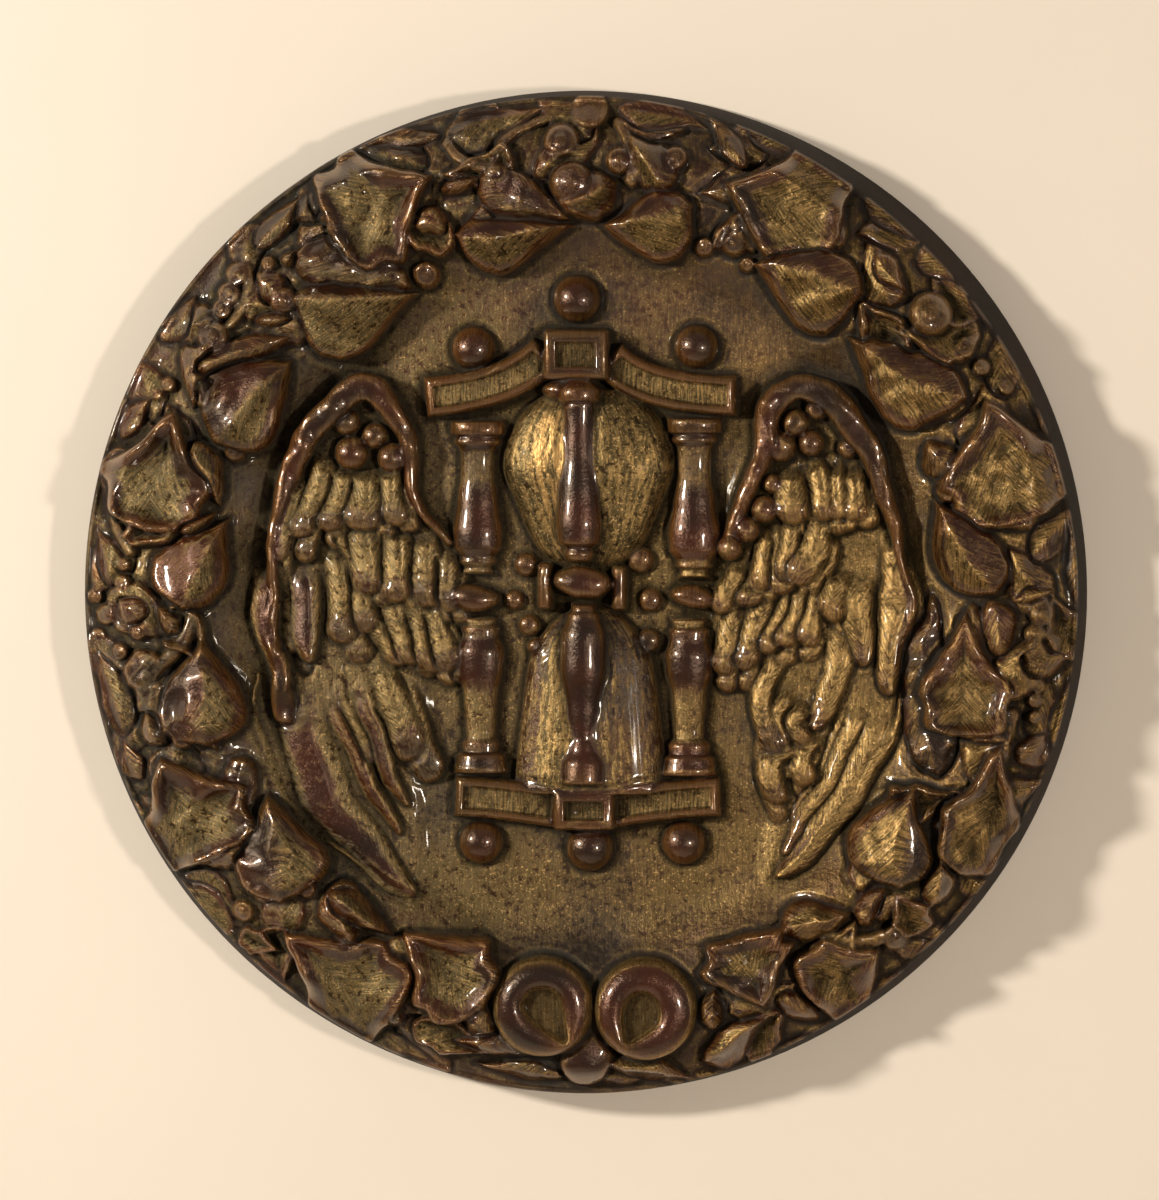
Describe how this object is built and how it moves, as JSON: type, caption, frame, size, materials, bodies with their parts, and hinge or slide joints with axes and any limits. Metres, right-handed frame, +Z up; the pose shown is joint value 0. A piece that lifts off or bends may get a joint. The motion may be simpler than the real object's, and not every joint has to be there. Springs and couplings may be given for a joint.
{
  "type": "relief plaque",
  "caption": "Round cast bronze wall plaque in high relief: a winged hourglass within an ivy wreath tied with a bow.",
  "frame": {"origin": "middle of the plaque in the plane of its flat back ring, where the wall is", "axes": "+X to the viewer's right, +Y from the front into the wall, +Z up as it hangs"},
  "size_m": [0.4, 0.0452, 0.4],
  "materials": {
    "bronze": "dark brown patina over cast bronze, golden where it is rubbed, satin"
  },
  "bodies": {
    "root": {"relief_plaque": "bronze"}
  },
  "joints": []
}
